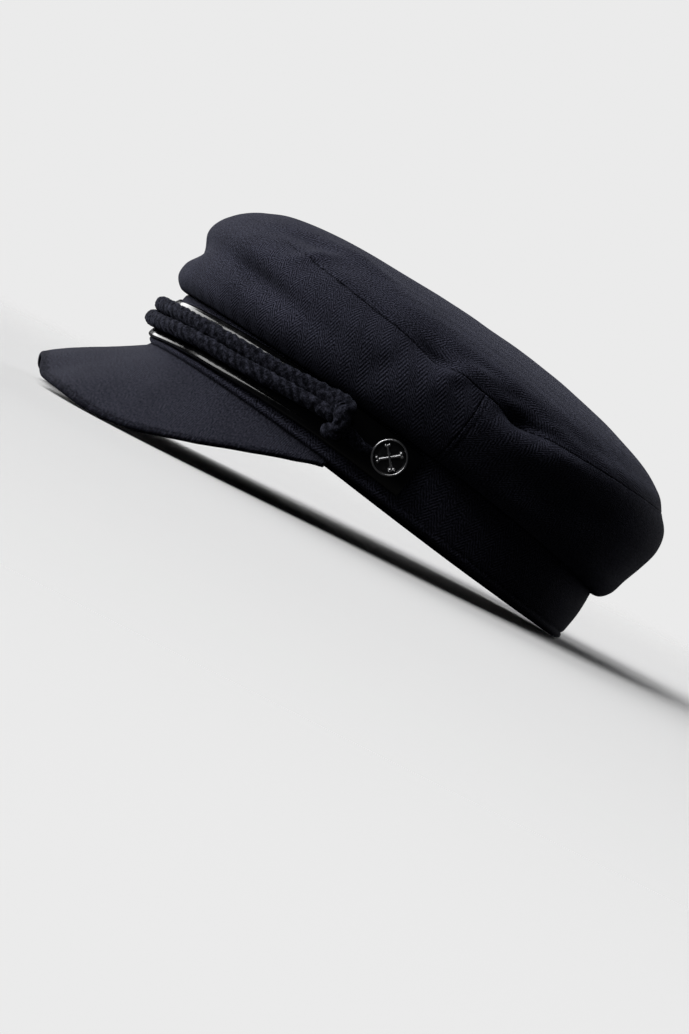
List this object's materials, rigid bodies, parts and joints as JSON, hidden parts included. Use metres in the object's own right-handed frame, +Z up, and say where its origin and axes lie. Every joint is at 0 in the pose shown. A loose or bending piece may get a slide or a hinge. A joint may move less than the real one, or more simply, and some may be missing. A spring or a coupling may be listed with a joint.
{
  "type": "captain's cap",
  "caption": "Soft round-crowned wool cap on an upright head band, with a drooping cloth peak, a patent strap, cords and side buttons.",
  "frame": {"origin": "middle of the cap's bounding box, on the surface that the cap lies on", "axes": "+Z up, the peak looks towards -Y and the back of the crown is at +Y, +X is the wearer's left"},
  "size_m": [0.1942, 0.2602, 0.1056],
  "materials": {
    "wool_cloth": "very dark navy grey herringbone wool, matt",
    "patent_leather": "black patent, glossy",
    "cord": "dark twisted cotton cord, matt",
    "button_metal": "antique pewter, dark in the field and bright on the relief"
  },
  "bodies": {
    "root": {"crown_top_panel": "wool_cloth", "crown_front_panel": "wool_cloth", "crown_back_panel": "wool_cloth", "head_band": "wool_cloth", "peak": "wool_cloth", "leather_strap": "patent_leather", "cord_lower": "cord", "cord_upper": "cord", "button_left": "button_metal", "button_right": "button_metal"}
  },
  "joints": []
}
